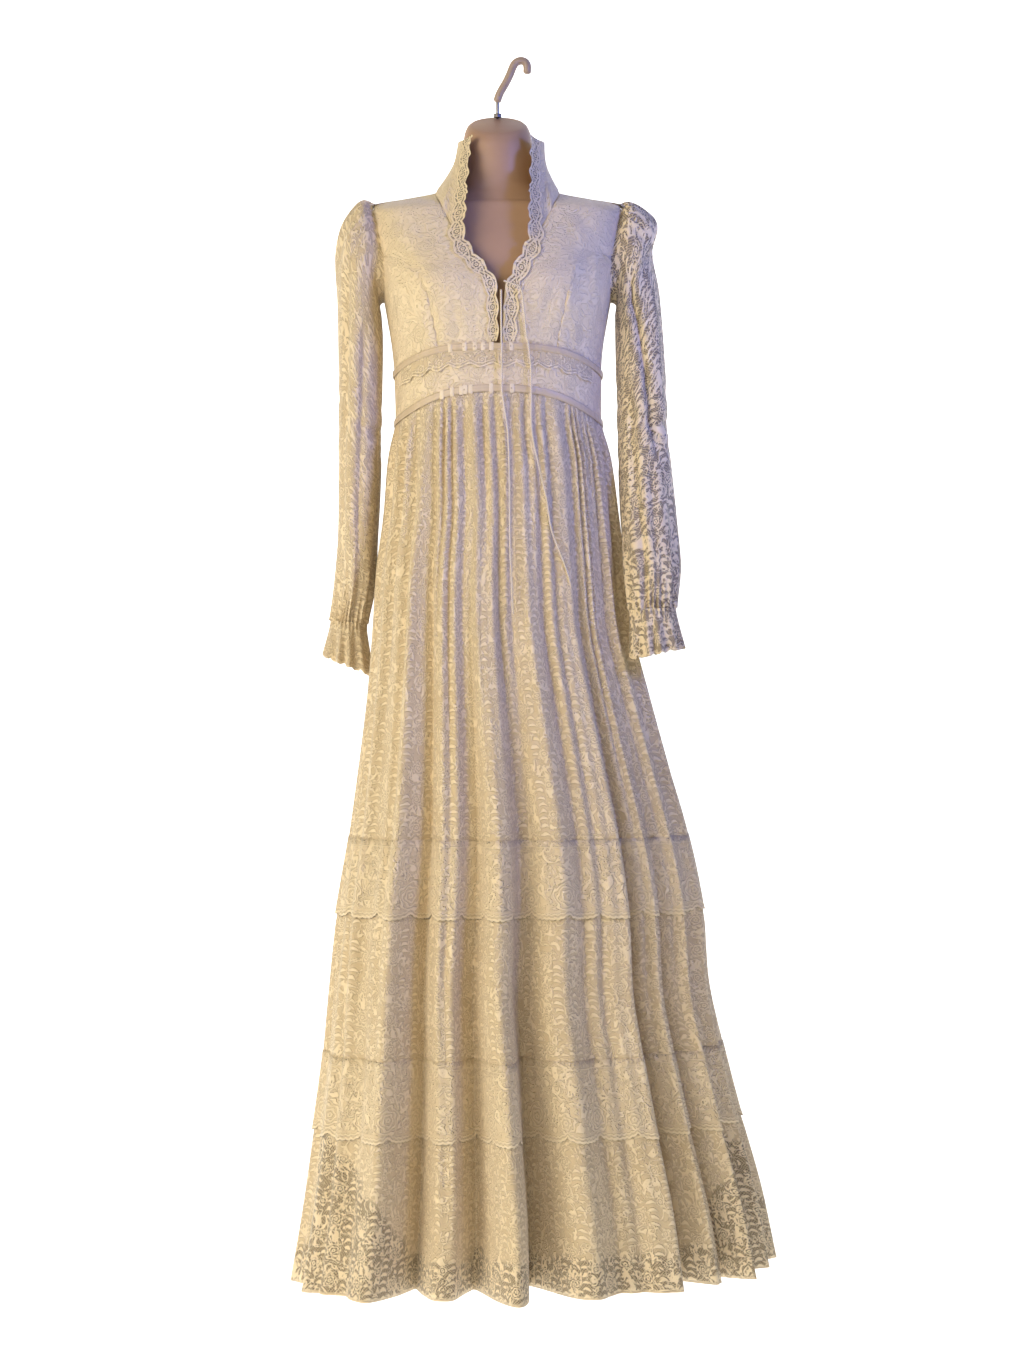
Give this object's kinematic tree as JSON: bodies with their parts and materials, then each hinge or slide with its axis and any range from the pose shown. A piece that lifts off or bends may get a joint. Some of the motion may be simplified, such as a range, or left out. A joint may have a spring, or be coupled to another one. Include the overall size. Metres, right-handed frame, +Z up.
{
  "type": "wedding dress on a hanging dress form",
  "caption": "Long-sleeved all-over-lace maxi wedding dress with a funnel collar, keyhole neckline, arched midriff and gathered tiered skirt, on a limbless hanging form.",
  "frame": {"origin": "inner top of the hook's bend, where the hook hangs on a rail", "axes": "+Z up, dress hangs towards -Z with its front towards -Y; +X is to the right as seen from the front"},
  "size_m": [0.6358, 0.4236, 1.607],
  "materials": {
    "ivory_lace": "matt all-over lace",
    "cream_lining": "soft low sheen",
    "satin_ribbon": "satin sheen",
    "skin_tone_plastic": "smooth matt",
    "beige_plastic": "smooth sleeve over steel"
  },
  "bodies": {
    "root": {"form_torso": "skin_tone_plastic", "hanging_hook": "beige_plastic", "collar": "ivory_lace", "front_left": "ivory_lace", "front_right": "ivory_lace", "side_front_left": "ivory_lace", "side_front_right": "ivory_lace", "back_left": "ivory_lace", "back_right": "ivory_lace", "midriff": "ivory_lace", "ribbon_upper": "satin_ribbon", "ribbon_lower": "satin_ribbon", "midriff_edging": "ivory_lace", "neck_edging_left": "ivory_lace", "neck_edging_right": "ivory_lace", "sleeve_left_front": "ivory_lace", "sleeve_left_back": "ivory_lace", "sleeve_right_front": "ivory_lace", "sleeve_right_back": "ivory_lace", "cuff_left": "ivory_lace", "cuff_right": "ivory_lace", "skirt_lining": "cream_lining", "skirt_upper": "ivory_lace", "galloon_upper": "ivory_lace", "skirt_middle": "ivory_lace", "galloon_lower": "ivory_lace", "skirt_lower_front": "ivory_lace", "skirt_lower_back": "ivory_lace", "lacing_left": "satin_ribbon", "lacing_right": "satin_ribbon"}
  },
  "joints": []
}
